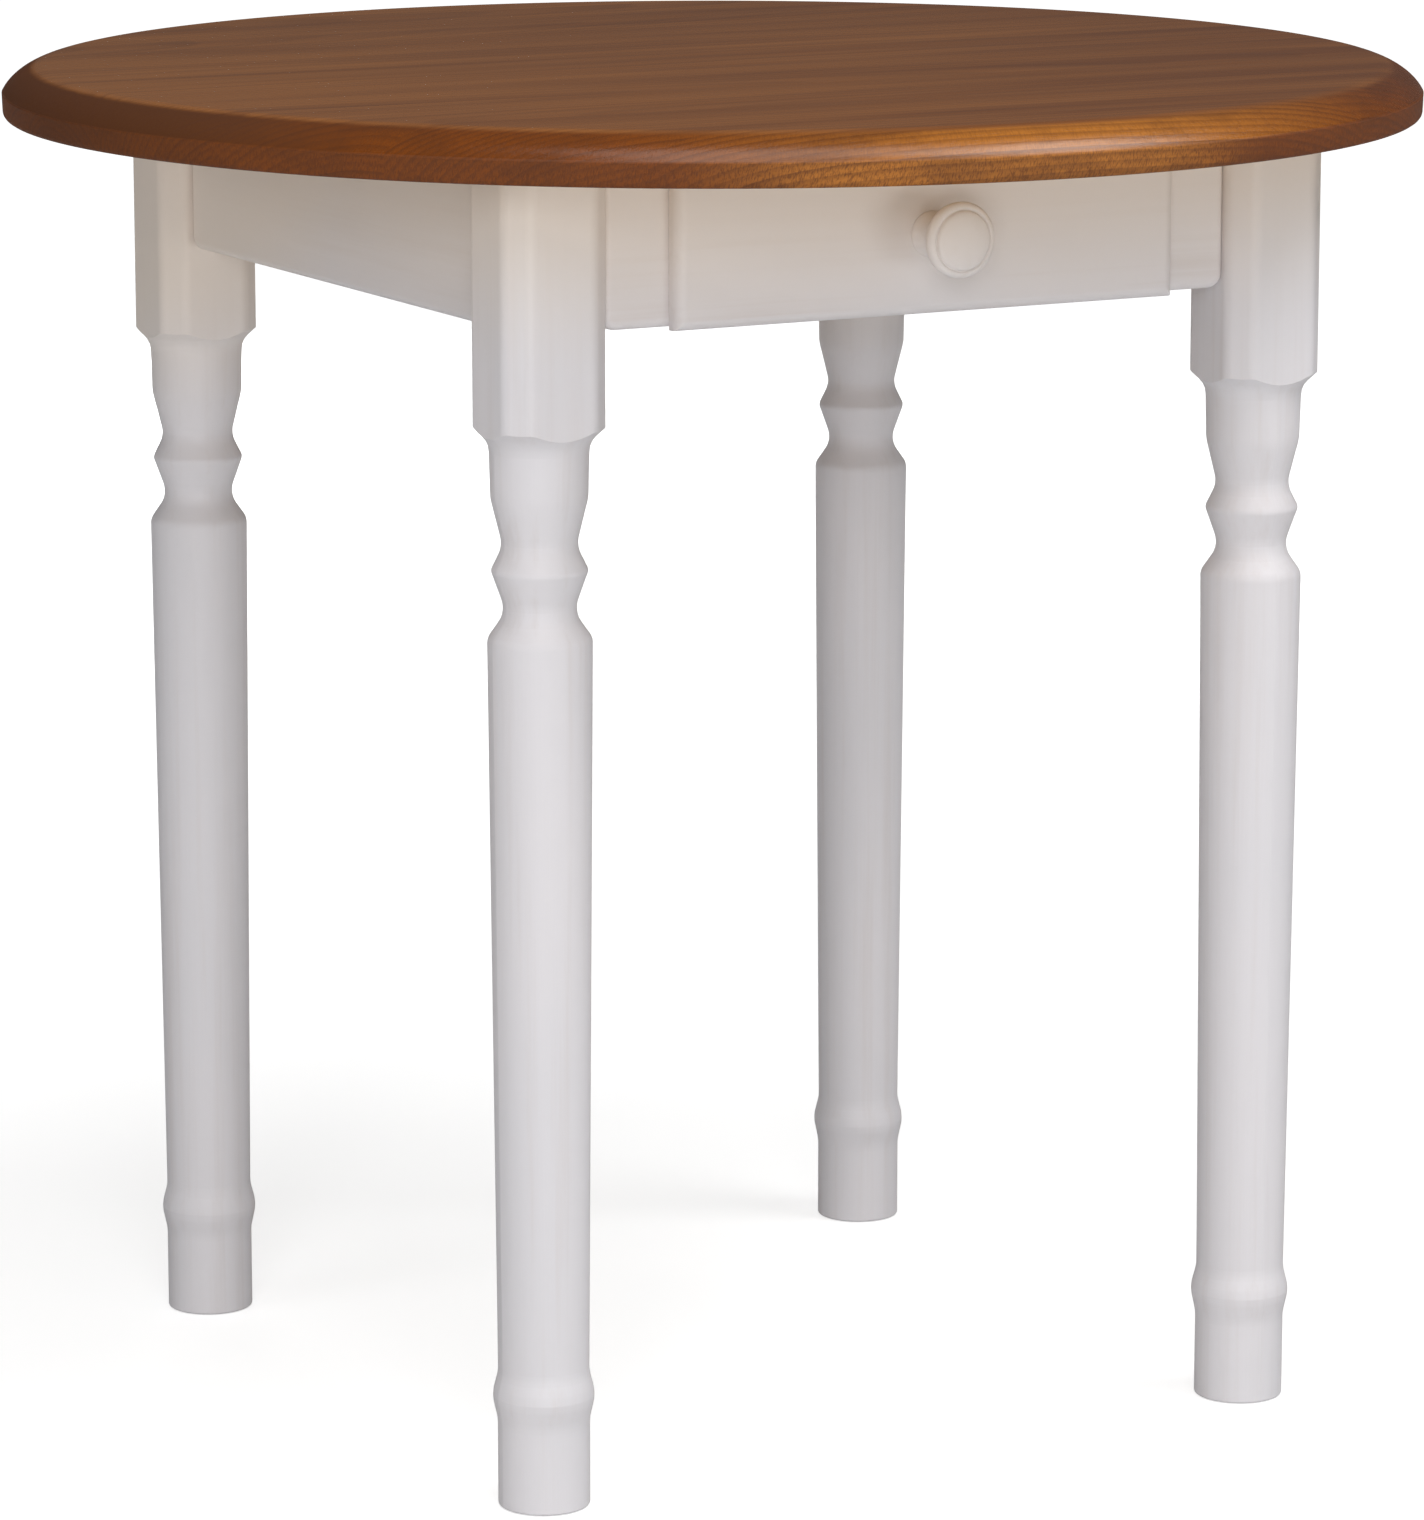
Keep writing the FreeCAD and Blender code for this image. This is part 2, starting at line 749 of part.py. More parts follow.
def drawer_runner():
    # Right-hand runner, from the front rail to the back rail
    runner = box((runner_inner, guide_outer), (-apron_inside, apron_inside), (runner_bottom, runner_top))
    for cut in runner_dowel_cuts():
        runner = runner.cut(cut).cut(turned(cut, 180))
    return runner


def drawer_guide():
    return box((guide_inner, guide_outer), (-apron_inside, apron_inside),
               (runner_top, runner_top + guide_height))


def stop_screw_length():
    return stop_height - screw_head_height + stop_screw_bite


def stop_screw_seats():
    middle_y = (stop_front + stop_back) / 2
    half = stop_screw_spacing / 2
    return [FreeCAD.Vector(x, middle_y, stop_bottom + screw_head_height) for x in (-half, half)]


def drawer_stop():
    half = stop_width / 2
    block = box((-half, half), (stop_front, stop_back), (stop_bottom, top_underside))
    for seat in stop_screw_seats():
        block = block.cut(screw_hole(seat, Z_AXIS, stop_screw_length()))
    return block


def drawer_stop_screws():
    return [wood_screw(seat, Z_AXIS, stop_screw_length()) for seat in stop_screw_seats()]


# Every node of the table
def all_nodes():
    nodes = {"table_top": table_top()}
    one_leg = leg()
    one_brace = corner_brace()
    for quarter, corner in enumerate(CORNERS):
        nodes["leg_" + corner] = turned(one_leg, 90 * quarter)
        nodes["corner_brace_" + corner] = turned(one_brace, 90 * quarter)
    nodes.update(aprons())
    side = drawer_side()
    runner = drawer_runner()
    guide = drawer_guide()
    for name, shape in (("drawer_side", side), ("drawer_runner", runner), ("drawer_guide", guide)):
        nodes[name + "_right"] = shape
        nodes[name + "_left"] = mirrored(shape)
    nodes["drawer_front"] = drawer_front()
    nodes["drawer_back"] = drawer_back()
    nodes["drawer_bottom"] = drawer_bottom()
    nodes["drawer_knob"] = drawer_knob()
    nodes["drawer_knob_screw"] = drawer_knob_screw()
    nodes["drawer_stop"] = drawer_stop()
    groups = {
        "leg_bolts": at_corners(leg_bolts()),
        "leg_bolt_washers": at_corners(leg_bolt_washers()),
        "leg_bolt_nuts": at_corners(leg_bolt_nuts()),
        "brace_screws": at_corners(brace_screws()),
        "top_brackets": top_brackets(),
        "top_bracket_screws": top_bracket_screws(),
        "drawer_dowels": drawer_dowels(),
        "drawer_back_screws": drawer_back_screws(),
        "runner_dowels": runner_dowels(),
        "drawer_stop_screws": drawer_stop_screws(),
    }
    for name, shapes in groups.items():
        nodes[name] = Part.makeCompound(shapes)
    return nodes


os.makedirs("parts", exist_ok=True)
for node, shape in all_nodes().items():
    print(node, len(shape.Solids), shape.isValid(), round(shape.Volume))
    shape.exportStep("parts/" + node + ".step")
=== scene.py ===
import math

import bmesh
import bpy
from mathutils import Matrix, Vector
from mathutils.geometry import interpolate_bezier


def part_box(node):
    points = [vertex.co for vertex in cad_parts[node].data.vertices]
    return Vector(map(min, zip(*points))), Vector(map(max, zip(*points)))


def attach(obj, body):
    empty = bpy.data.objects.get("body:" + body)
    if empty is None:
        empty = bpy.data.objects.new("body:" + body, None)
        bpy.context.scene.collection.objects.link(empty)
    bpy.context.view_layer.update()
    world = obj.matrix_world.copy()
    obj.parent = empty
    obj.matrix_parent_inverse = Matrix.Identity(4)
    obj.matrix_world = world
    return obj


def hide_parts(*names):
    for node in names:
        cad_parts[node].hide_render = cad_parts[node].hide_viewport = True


# Round table, white turned legs and rails, brown stained top, one drawer
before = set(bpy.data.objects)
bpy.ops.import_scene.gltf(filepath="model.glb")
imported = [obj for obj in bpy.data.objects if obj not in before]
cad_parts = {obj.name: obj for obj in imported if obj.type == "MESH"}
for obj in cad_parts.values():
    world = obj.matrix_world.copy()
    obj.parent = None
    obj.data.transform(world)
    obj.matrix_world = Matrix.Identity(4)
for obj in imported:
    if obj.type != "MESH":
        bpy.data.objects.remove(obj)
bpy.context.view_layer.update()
print("frame loaded:", len(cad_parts), "nodes")


# Small helpers for shader trees
def feed(tree, socket, value):
    if isinstance(value, bpy.types.NodeSocket):
        tree.links.new(value, socket)
    else:
        socket.default_value = value


def addNode(tree, kind, inputs=None, **settings):
    made = tree.nodes.new(kind)
    for name, value in settings.items():
        setattr(made, name, value)
    for name, value in (inputs or {}).items():
        feed(tree, made.inputs[name], value)
    return made


def calc(tree, operation, *values):
    made = addNode(tree, "ShaderNodeMath", operation=operation)
    for socket, value in zip(made.inputs, values):
        feed(tree, socket, value)
    return made.outputs["Value"]


def calcVector(tree, operation, first, second=(0, 0, 0)):
    made = addNode(tree, "ShaderNodeVectorMath", {0: first, 1: second}, operation=operation)
    return made.outputs["Vector"]


def lengthOf(tree, vector):
    return addNode(tree, "ShaderNodeVectorMath", {0: vector}, operation="LENGTH").outputs["Value"]


def splitOf(tree, vector):
    return addNode(tree, "ShaderNodeSeparateXYZ", {"Vector": vector}).outputs


# Straight from low to high as the share goes from 0 to 1
def partWay(tree, share, low, high):
    return calc(tree, "MULTIPLY_ADD", share, high - low, low)


# The same with soft ends, while the value goes from its own low to its own high
def rampTo(tree, value, low, high, toLow=0.0, toHigh=1.0):
    made = addNode(
        tree,
        "ShaderNodeMapRange",
        {"Value": value, "From Min": low, "From Max": high, "To Min": toLow, "To Max": toHigh},
        interpolation_type="SMOOTHSTEP",
    )
    return made.outputs["Result"]


def noiseOf(tree, vector, detail, roughness, stretch=(1, 1, 1)):
    made = addNode(
        tree,
        "ShaderNodeTexNoise",
        {
            "Vector": calcVector(tree, "MULTIPLY", vector, stretch),
            "Scale": 1.0,
            "Detail": detail,
            "Roughness": roughness,
        },
    )
    return made.outputs["Fac"]


def lotFor(tree, number):
    return addNode(tree, "ShaderNodeTexWhiteNoise", {"W": number}, noise_dimensions="1D").outputs


def blended(tree, factor, first, second):
    made = addNode(tree, "ShaderNodeMix", data_type="RGBA", clamp_factor=True)
    # the colours have the sockets 6 and 7 there, because each kind of value has its own
    feed(tree, made.inputs[0], factor)
    feed(tree, made.inputs[6], first)
    feed(tree, made.inputs[7], second)
    return made.outputs[2]


def newGroup(name, inputs, outputs):
    tree = bpy.data.node_groups.new(name, "ShaderNodeTree")
    for title, kind in inputs.items():
        tree.interface.new_socket(title, in_out="INPUT", socket_type=kind)
    for title in outputs:
        tree.interface.new_socket(title, in_out="OUTPUT", socket_type="NodeSocketFloat")
    return tree, tree.nodes.new("NodeGroupInput").outputs, tree.nodes.new("NodeGroupOutput").inputs


# Timber: growth rings round a pith that runs along X, board by board, with long fibres
growth = {
    "pithAside": 0.07,
    "pithHeight": 0.69,
    "pithDrop": 0.09,
    "pithLean": 0.08,
    "pithDip": -0.6,  # share of the lean
    "ringStart": (0.25, 0.88),  # shares of a ring
    "ringEnd": (1.0, 0.9),
    "faintest": 0.4,
    "sway": {"stretch": (1.3, 9.0, 9.0), "detail": 3.0, "roughness": 0.5},
    "fibre": {"stretch": (14.0, 900.0, 900.0), "detail": 3.0, "roughness": 0.6},
    "streak": {"stretch": (2.4, 26.0, 26.0), "detail": 2.0, "roughness": 0.45},
    "cloud": {"stretch": (2.0, 18.0, 18.0), "detail": 3.0, "roughness": 0.55},
}


def timberGroup():
    tree, given, result = newGroup(
        "timber",
        {
            "Vector": "NodeSocketVector",
            "Board Width": "NodeSocketFloat",
            "Ring Gap": "NodeSocketFloat",
            "Wander": "NodeSocketFloat",
        },
        ["Ring", "Fibre", "Streak", "Board", "Cloud"],
    )
    place = splitOf(tree, given["Vector"])
    boardNumber = calc(tree, "ROUND", calc(tree, "DIVIDE", place["Y"], given["Board Width"]))
    chance = lotFor(tree, boardNumber)
    lot = splitOf(tree, chance["Color"])

    # pith of this board: beside its middle, below it, and not quite parallel to it
    boardMiddle = calc(tree, "MULTIPLY", boardNumber, given["Board Width"])
    lean = partWay(tree, lot["Z"], -growth["pithLean"], growth["pithLean"])
    pithY = partWay(tree, lot["X"], -growth["pithAside"], growth["pithAside"])
    pithY = calc(tree, "ADD", calc(tree, "MULTIPLY_ADD", place["X"], lean, pithY), boardMiddle)
    pithZ = partWay(tree, lot["Y"], growth["pithHeight"], growth["pithHeight"] - growth["pithDrop"])
    pithZ = calc(tree, "MULTIPLY_ADD", place["X"], calc(tree, "MULTIPLY", lean, growth["pithDip"]), pithZ)

    # each board is cut from another stretch of the trunk
    shifted = calcVector(tree, "ADD", given["Vector"], chance["Color"])
    sway = noiseOf(tree, shifted, **growth["sway"])
    sway = calc(tree, "MULTIPLY", calc(tree, "SUBTRACT", sway, 0.5), given["Wander"])  # to both sides
    offY = calc(tree, "SUBTRACT", place["Y"], pithY)
    offZ = calc(tree, "SUBTRACT", place["Z"], pithZ)
    section = addNode(tree, "ShaderNodeCombineXYZ", {"Y": offY, "Z": offZ}).outputs["Vector"]
    radius = calc(tree, "ADD", lengthOf(tree, section), sway)

    # a ring darkens slowly and ends sharply, and some years are fainter
    turns = calc(tree, "DIVIDE", radius, given["Ring Gap"])
    part = calc(tree, "FRACT", turns)
    start = rampTo(tree, part, *growth["ringStart"])
    late = calc(tree, "MULTIPLY", start, rampTo(tree, part, *growth["ringEnd"]))
    year = lotFor(tree, calc(tree, "FLOOR", turns))["Value"]
    feed(tree, result["Ring"], calc(tree, "MULTIPLY", late, partWay(tree, year, growth["faintest"], 1.0)))
    feed(tree, result["Fibre"], noiseOf(tree, shifted, **growth["fibre"]))
    feed(tree, result["Streak"], noiseOf(tree, shifted, **growth["streak"]))
    feed(tree, result["Board"], chance["Value"])
    feed(tree, result["Cloud"], noiseOf(tree, shifted, **growth["cloud"]))
    return tree


# Grain that still shows under a coat of paint, and the paint's own brush lines and patches
coating = {
    "Streak": {"stretch": (3.0, 120.0, 120.0), "detail": 4.0, "roughness": 0.6},
    "Brush": {"stretch": (9.0, 620.0, 620.0), "detail": 2.0, "roughness": 0.5},
    "Patch": {"stretch": (5.0, 14.0, 14.0), "detail": 3.0, "roughness": 0.5},
}


def paintGroup():
    tree, given, result = newGroup("paintFilm", {"Vector": "NodeSocketVector"}, coating)
    for title, pattern in coating.items():
        feed(tree, result[title], noiseOf(tree, given["Vector"], **pattern))
    return tree


timber = timberGroup()
paintFilm = paintGroup()

# Turns that bring the grain, which runs along X in the groups, to each piece's own direction
grainTurns = {
    "along": (0.0, 0.0, 0.0),
    "across": (0.0, 0.0, math.radians(-90)),
    "upright": (0.0, math.radians(90), 0.0),
    "diagonal": (0.0, 0.0, math.radians(45)),
    "counter": (0.0, 0.0, math.radians(-45)),
}


def startMaterial(name, grain):
    made = bpy.data.materials.new(name)
    made.use_nodes = True
    tree = made.node_tree
    shader = tree.nodes["Principled BSDF"]
    coords = addNode(tree, "ShaderNodeTexCoord").outputs["Object"]
    turned = addNode(tree, "ShaderNodeMapping", {"Vector": coords, "Rotation": grainTurns[grain]})
    return made, tree, shader, turned.outputs["Vector"]


def placeGroup(tree, group, inputs):
    return addNode(tree, "ShaderNodeGroup", inputs, node_tree=group).outputs


def placeTimber(tree, vector, looks):
    return placeGroup(
        tree,
        timber,
        {
            "Vector": vector,
            "Board Width": looks["boardWidth"],
            "Ring Gap": looks["ringGap"],
            "Wander": looks["wander"],
        },
    )


def addBump(tree, shader, height, strength, distance):
    made = addNode(
        tree, "ShaderNodeBump", {"Height": height, "Strength": strength, "Distance": distance}
    )
    feed(tree, shader.inputs["Normal"], made.outputs["Normal"])


# Top: a low rim that leans a little, a crease, and a wide round up to the flat
topBoards = {
    "segments": 288,
    "upperRound": 0.028,
    "rimHeight": 0.013,
    "rimLean": 0.0005,
    "lowerRound": 0.003,
    "upperSteps": 14,
    "lowerSteps": 4,
    "bareBelow": -0.999,  # faces that look down as far as this have no stain
}
topLow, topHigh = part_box("table_top")
topRadius = (topHigh.x - topLow.x) / 2
creaseHeight = topLow.z + topBoards["rimHeight"]
upperAngle = math.acos(1 - (topHigh.z - creaseHeight) / topBoards["upperRound"])
flatRadius = topRadius - topBoards["upperRound"] * math.sin(upperAngle)

# Stain: a pair with a note has one value for each of the two places that the note names
stain = {
    "pale": (0.372, 0.136, 0.034, 1),
    "mid": (0.212, 0.069, 0.018, 1),
    "dark": (0.098, 0.030, 0.009, 1),
    "golden": (0.468, 0.168, 0.026, 1),
    "brown": (0.204, 0.053, 0.007, 1),
    "endGrain": (0.103, 0.031, 0.006, 1),
    "boardWidth": 0.096,
    "ringGap": 0.0042,
    "wander": 0.016,
    "boardTone": 0.3,
    "cloudTone": 1.6,
    "streakTone": 1.9,
    "toneShift": -1.4,
    "streakAndShadeSlope": 0.8,
    "ringDepth": (0.28, 0.63),  # flat, rim
    "lineRange": (0.5, 0.75),
    "lineDepth": 0.2,
    "rimFrom": 0.005,
    "rimTo": 0.0105,
    "creaseFade": 0.0015,
    "lean": (0.10, -0.02),  # below the crease, above it
    "sunkFrom": (0.20, 0.05),  # below the crease, above it
    "sunkTo": (0.44, 0.65),  # below the crease, above it
    "boardEnd": (0.8, 1.0),
    "blotch": {"stretch": (16.0, 16.0, 50.0), "detail": 4.0, "roughness": 0.6},
    "blotchRange": (0.42, 0.66),
    "blotchDepth": 0.4,
    "markGap": 0.0011,
    "markLength": 0.018,
    "markLean": 0.6,
    "markNoise": {"detail": 2.0, "roughness": 0.6},
    "markRange": (0.42, 0.66),
    "markShare": (1.0, 0.4),  # below the crease, above it
    "markDepth": 0.66,
    "roughRange": (0.3, 0.75),
    "rough": (0.2, 0.3),
    "dullness": 0.5,
    "shine": 0.4,
    "ringHeight": 0.4,
    "fibreHeight": -1.0,
    "markHeight": -0.9,
    "bump": {"strength": 0.14, "distance": 0.0004},
}


# Fine leaning marks that the sander left across the rim, filled by the stain
def sanderMarks(tree, outward, height):
    girth = topRadius / stain["markGap"]
    spread = calcVector(tree, "MULTIPLY", outward, (girth, girth, 0))
    sideways = calcVector(tree, "CROSS_PRODUCT", outward, (0, 0, 1))
    lean = calc(tree, "MULTIPLY", height, stain["markLean"] / stain["markGap"])
    slid = addNode(tree, "ShaderNodeVectorMath", {0: sideways, "Scale": lean}, operation="SCALE")
    moved = calcVector(tree, "ADD", spread, slid.outputs["Vector"])
    level = calc(tree, "DIVIDE", height, stain["markLength"])
    tall = addNode(tree, "ShaderNodeCombineXYZ", {"Z": level}).outputs["Vector"]
    noise = noiseOf(tree, calcVector(tree, "ADD", moved, tall), **stain["markNoise"])
    return rampTo(tree, noise, *stain["markRange"])


# On the rim the stain is golden along the grain, and sinks in darker where the boards end
def rimStain(tree, vector, across, upper, boardEnd):
    sunkFrom = partWay(tree, upper, *stain["sunkFrom"])
    sunk = rampTo(tree, across, sunkFrom, partWay(tree, upper, *stain["sunkTo"]))
    colour = blended(tree, sunk, stain["golden"], stain["brown"])
    colour = blended(tree, boardEnd, colour, stain["endGrain"])
    blotch = noiseOf(tree, vector, **stain["blotch"])
    blotch = rampTo(tree, blotch, *stain["blotchRange"], 0.0, stain["blotchDepth"])
    return blended(tree, blotch, colour, stain["dark"])


# The flat goes from pale to mid by board, cloud and streak, and is darker towards the front right, partly
# the wood's darker streaks there and partly painted shade against the brighter light there
def flatStain(tree, place, wood):
    tone = calc(tree, "MULTIPLY_ADD", wood["Cloud"], stain["cloudTone"], stain["toneShift"])
    tone = calc(tree, "MULTIPLY_ADD", wood["Board"], stain["boardTone"], tone)
    tone = calc(tree, "MULTIPLY_ADD", wood["Streak"], stain["streakTone"], tone)
    # painted shade together with the wood's streaks: darker towards the front right
    slope = calc(tree, "SUBTRACT", place["X"], place["Y"])
    tone = calc(tree, "MULTIPLY_ADD", slope, stain["streakAndShadeSlope"], tone)
    return blended(tree, tone, stain["pale"], stain["mid"])


def stainedTopMaterial():
    made, tree, shader, vector = startMaterial("stainedTop", "along")
    wood = placeTimber(tree, vector, stain)
    place = splitOf(tree, vector)
    level = calcVector(tree, "MULTIPLY", vector, (1, 1, 0))
    away = lengthOf(tree, level)
    outward = calcVector(tree, "NORMALIZE", level)
    rim = rampTo(tree, away, flatRadius + stain["rimFrom"], flatRadius + stain["rimTo"])
    upper = rampTo(tree, place["Z"], creaseHeight, creaseHeight + stain["creaseFade"])

    # 0 where the rim runs with the grain, 1 where it cuts across the boards
    lean = partWay(tree, upper, *stain["lean"])
    across = calc(tree, "MULTIPLY_ADD", place["X"], calc(tree, "DIVIDE", 1.0, away), lean)
    across = calc(tree, "ABSOLUTE", across)
    boardEnd = rampTo(tree, across, *stain["boardEnd"])

    rimColour = rimStain(tree, vector, across, upper, boardEnd)
    colour = blended(tree, rim, flatStain(tree, place, wood), rimColour)
    marked = calc(tree, "MULTIPLY", rim, partWay(tree, upper, *stain["markShare"]))
    marks = calc(tree, "MULTIPLY", sanderMarks(tree, outward, place["Z"]), marked)
    colour = blended(tree, calc(tree, "MULTIPLY", marks, stain["markDepth"]), colour, stain["dark"])
    rings = calc(tree, "MULTIPLY", wood["Ring"], partWay(tree, rim, *stain["ringDepth"]))
    colour = blended(tree, rings, colour, stain["dark"])
    lines = rampTo(tree, wood["Fibre"], *stain["lineRange"], 0.0, stain["lineDepth"])
    feed(tree, shader.inputs["Base Color"], blended(tree, lines, colour, stain["dark"]))

    # the lacquer lies on the flat and the upper round, and is dull below the crease and on board ends
    dull = calc(tree, "MAXIMUM", calc(tree, "SUBTRACT", 1.0, upper), boardEnd)
    dull = calc(tree, "MULTIPLY", calc(tree, "MULTIPLY", dull, rim), stain["dullness"])
    rough = rampTo(tree, wood["Fibre"], *stain["roughRange"], *stain["rough"])
    feed(tree, shader.inputs["Roughness"], calc(tree, "ADD", rough, dull))
    shader.inputs["Specular IOR Level"].default_value = stain["shine"]
    height = calc(tree, "MULTIPLY", wood["Fibre"], stain["fibreHeight"])
    height = calc(tree, "MULTIPLY_ADD", wood["Ring"], stain["ringHeight"], height)
    height = calc(tree, "MULTIPLY_ADD", marks, stain["markHeight"], height)
    addBump(tree, shader, height, **stain["bump"])
    return made


paint = {
    "coat": (0.80, 0.775, 0.798, 1),
    "thin": (0.72, 0.675, 0.675, 1),
    "cool": (0.775, 0.757, 0.783, 1),
    # the warm tint is painted bounce light and shade from the top's underside, not a colour of the coat
    "bounceTint": (0.852, 0.766, 0.688, 1),
    "coolRange": (0.35, 0.7),
    "thinRange": (0.45, 0.8),
    "thinning": {"along": 1.0, "across": 0.75, "upright": 0.55},
    "bounceHeights": (0.615, 0.722),  # heights
    "bounceBehind": 0.42,
    "facingBack": (0.9, 0.2),
    "bounceAtBack": 0.25,
    "roughRange": (0.3, 0.7),
    "rough": (0.42, 0.55),
    "shine": 0.4,
    "brushHeight": 0.5,
    "bump": {"strength": 0.18, "distance": 0.0003},
}


# Painted warm bounce light and shade on the coat: close under the top, lower towards the back, but less
# on what faces back
def paintedBounceTint(tree):
    place = splitOf(tree, addNode(tree, "ShaderNodeTexCoord").outputs["Object"])
    behind = calc(tree, "MAXIMUM", place["Y"], 0.0)
    height = calc(tree, "MULTIPLY_ADD", behind, paint["bounceBehind"], place["Z"])
    facing = splitOf(tree, addNode(tree, "ShaderNodeNewGeometry").outputs["Normal"])["Y"]
    bounceFacing = rampTo(tree, facing, *paint["facingBack"], paint["bounceAtBack"], 1.0)
    return calc(tree, "MULTIPLY", rampTo(tree, height, *paint["bounceHeights"]), bounceFacing)


def whitePaintMaterial(grain):
    made, tree, shader, vector = startMaterial("whitePaint_" + grain, grain)
    film = placeGroup(tree, paintFilm, {"Vector": vector})
    colour = blended(tree, rampTo(tree, film["Patch"], *paint["coolRange"]), paint["coat"], paint["cool"])
    thinning = rampTo(tree, film["Streak"], *paint["thinRange"])
    thinning = calc(tree, "MULTIPLY", thinning, paint["thinning"][grain])
    colour = blended(tree, thinning, colour, paint["thin"])
    # painted warm bounce light and shade close under the top and towards the back
    colour = blended(tree, paintedBounceTint(tree), colour, paint["bounceTint"])
    feed(tree, shader.inputs["Base Color"], colour)
    rough = rampTo(tree, film["Brush"], *paint["roughRange"], *paint["rough"])
    feed(tree, shader.inputs["Roughness"], rough)
    shader.inputs["Specular IOR Level"].default_value = paint["shine"]
    height = calc(tree, "MULTIPLY_ADD", film["Brush"], paint["brushHeight"], film["Streak"])
    addBump(tree, shader, height, **paint["bump"])
    return made


pine = {
    "pale": (0.70, 0.52, 0.32, 1),
    "warm": (0.60, 0.40, 0.21, 1),
    "ring": (0.42, 0.24, 0.10, 1),
    "boardWidth": 4.0,
    "ringGap": 0.0034,
    "wander": 0.010,
    "ringDepth": 0.7,
    "lineRange": (0.5, 0.8),
    "lineDepth": 0.35,
    "roughRange": (0.3, 0.7),
    "rough": (0.6, 0.75),
    "shine": 0.3,
    "bump": {"strength": 0.3, "distance": 0.0003},
}


def barePineMaterial(grain):
    made, tree, shader, vector = startMaterial("barePine_" + grain, grain)
    wood = placeTimber(tree, vector, pine)
    colour = blended(tree, wood["Cloud"], pine["pale"], pine["warm"])
    colour = blended(tree, calc(tree, "MULTIPLY", wood["Ring"], pine["ringDepth"]), colour, pine["ring"])
    lines = rampTo(tree, wood["Fibre"], *pine["lineRange"], 0.0, pine["lineDepth"])
    feed(tree, shader.inputs["Base Color"], blended(tree, lines, colour, pine["ring"]))
    rough = rampTo(tree, wood["Fibre"], *pine["roughRange"], *pine["rough"])
    feed(tree, shader.inputs["Roughness"], rough)
    shader.inputs["Specular IOR Level"].default_value = pine["shine"]
    addBump(tree, shader, wood["Fibre"], **pine["bump"])
    return made


board = {
    "face": (0.30, 0.185, 0.10, 1),
    "fleck": (0.17, 0.095, 0.047, 1),
    "shreds": {"stretch": (260.0, 320.0, 300.0), "detail": 4.0, "roughness": 0.65},
    "fleckRange": (0.42, 0.68),
    "roughRange": (0.3, 0.7),
    "rough": (0.5, 0.68),
    "bump": {"strength": 0.25, "distance": 0.0002},
}


def hardboardMaterial():
    made, tree, shader, vector = startMaterial("pressedBoard", "along")
    shreds = noiseOf(tree, vector, **board["shreds"])
    colour = blended(tree, rampTo(tree, shreds, *board["fleckRange"]), board["face"], board["fleck"])
    feed(tree, shader.inputs["Base Color"], colour)
    rough = rampTo(tree, shreds, *board["roughRange"], *board["rough"])
    feed(tree, shader.inputs["Roughness"], rough)
    addBump(tree, shader, shreds, **board["bump"])
    return made


zinc = {
    "bright": (0.64, 0.64, 0.63, 1),
    "dull": (0.46, 0.46, 0.47, 1),
    "spangle": {"stretch": (190.0, 190.0, 190.0), "detail": 3.0, "roughness": 0.6},
    "dullRange": (0.35, 0.7),
    "roughRange": (0.3, 0.7),
    "rough": (0.3, 0.48),
    "bump": {"strength": 0.15, "distance": 0.0002},
}


def zincMaterial():
    made, tree, shader, vector = startMaterial("zincSteel", "along")
    spangle = noiseOf(tree, vector, **zinc["spangle"])
    colour = blended(tree, rampTo(tree, spangle, *zinc["dullRange"]), zinc["bright"], zinc["dull"])
    feed(tree, shader.inputs["Base Color"], colour)
    rough = rampTo(tree, spangle, *zinc["roughRange"], *zinc["rough"])
    feed(tree, shader.inputs["Roughness"], rough)
    shader.inputs["Metallic"].default_value = 1.0
    addBump(tree, shader, spangle, **zinc["bump"])
    return made


materials = {
    "stainedTop": stainedTopMaterial(),
    "pressedBoard": hardboardMaterial(),
    "zincSteel": zincMaterial(),
}
for grain in ("along", "across", "upright"):
    materials["whitePaint_" + grain] = whitePaintMaterial(grain)
for grain in ("along", "across", "diagonal", "counter"):
    materials["barePine_" + grain] = barePineMaterial(grain)
print("materials made:", len(materials))

# Finish of every node that keeps its own solid, by how its name begins: the longest match counts
finishes = {
    "leg_": "whitePaint_upright",
    "apron_front": "whitePaint_along",
    "apron_back": "whitePaint_along",
    "apron_left": "whitePaint_across",
    "apron_right": "whitePaint_across",
    "drawer_front": "whitePaint_along",
    "corner_brace_front_left": "barePine_diagonal",
    "corner_brace_back_right": "barePine_diagonal",
    "corner_brace_front_right": "barePine_counter",
    "corner_brace_back_left": "barePine_counter",
    "drawer_side": "barePine_across",
    "drawer_runner": "barePine_across",
    "drawer_guide": "barePine_across",
    "drawer_dowels": "barePine_across",
    "runner_dowels": "barePine_across",
    "drawer_back": "barePine_along",
    "drawer_stop": "barePine_along",
    "drawer_bottom": "pressedBoard",
    "leg_bolt": "zincSteel",
    "brace_screws": "zincSteel",
    "top_bracket": "zincSteel",
    "drawer_back_screws": "zincSteel",
    "drawer_knob_screw": "zincSteel",
    "drawer_stop_screws": "zincSteel",
}


def finishFor(node):
    fitting = [start for start in finishes if node.startswith(start)]
    return materials[finishes[max(fitting, key=len)]] if fitting else None


for name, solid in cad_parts.items():
    finish = finishFor(name)
    if finish:
        solid.data.materials.clear()
        solid.data.materials.append(finish)
print("solids finished")

# Pieces
weldDistance = 1e-5


def finishPiece(name, shape, body, finishNames, nodes):
    mesh = bpy.data.meshes.new(name)
    shape.to_mesh(mesh)
    shape.free()
    piece = bpy.data.objects.new(name, mesh)
    bpy.context.scene.collection.objects.link(piece)
    for finishName in finishNames:
        mesh.materials.append(materials[finishName])
    mesh.shade_smooth()
    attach(piece, body)
    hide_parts(*nodes)


